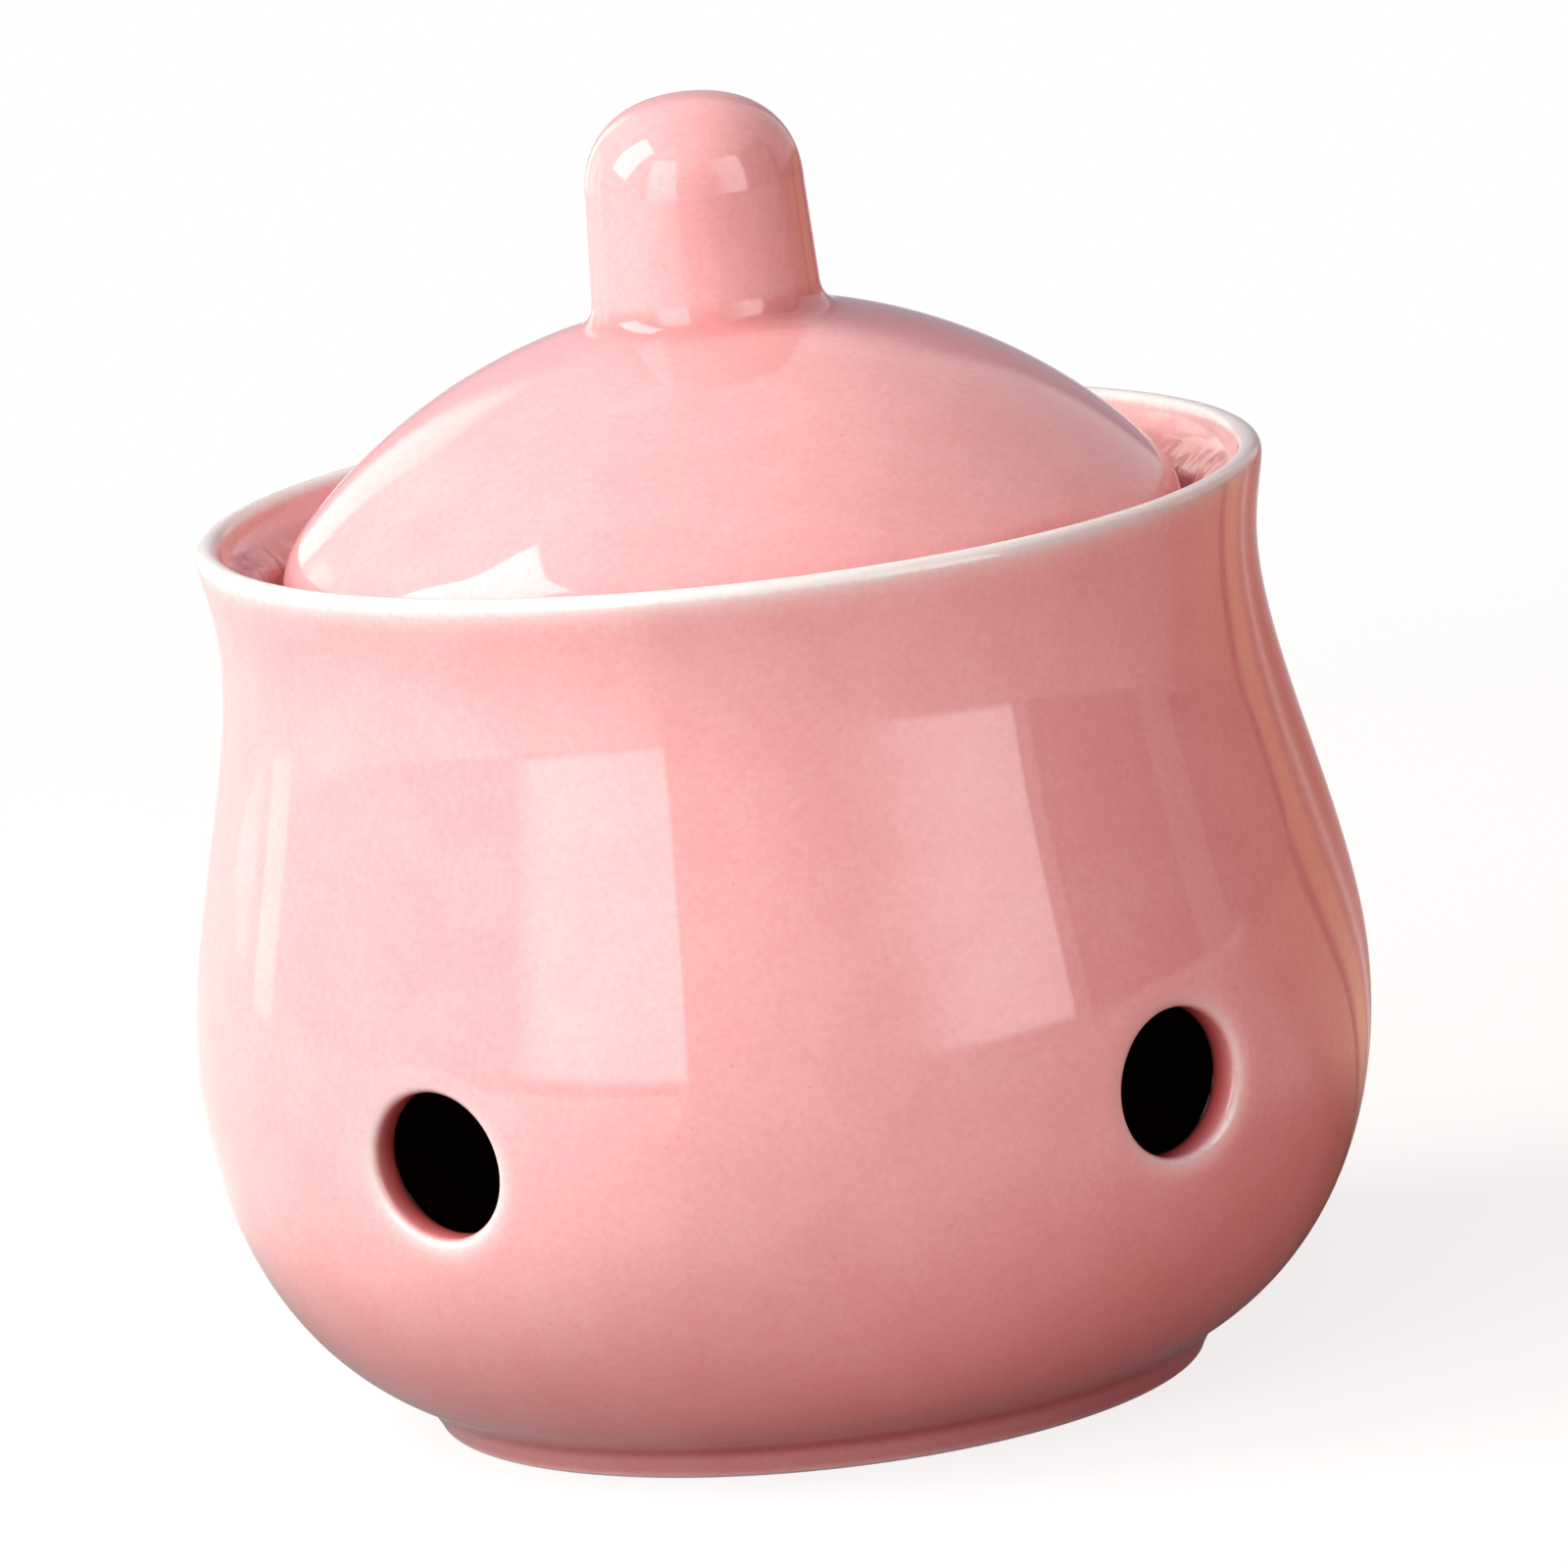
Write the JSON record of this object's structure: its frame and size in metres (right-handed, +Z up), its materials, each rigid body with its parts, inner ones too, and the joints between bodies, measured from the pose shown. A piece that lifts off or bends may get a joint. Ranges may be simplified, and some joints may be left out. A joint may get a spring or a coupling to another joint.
{
  "type": "garlic keeper",
  "caption": "Bellied glazed ceramic storage pot on a foot ring with round air vents in the wall and a domed lid with a knob that lifts off.",
  "frame": {"origin": "centre of the circle that the foot ring stands on", "axes": "+Z up along the axis that pot and lid are turned about; -Y is the front, with one vent on each side of it; +X is to the right seen from the front"},
  "size_m": [0.12, 0.1195, 0.1336],
  "materials": {
    "pot_glaze": "glossy pale pink glaze, thinning to white on the lip and the vent edges",
    "lid_glaze": "glossy pale pink glaze"
  },
  "bodies": {
    "pot": {"pot": "pot_glaze"},
    "lid": {"lid": "lid_glaze"}
  },
  "joints": [
    {"name": "lid_lift", "type": "slide", "parent": "pot", "child": "lid", "axis": [0, 0, 1], "range_m": [0, 0.06]}
  ]
}
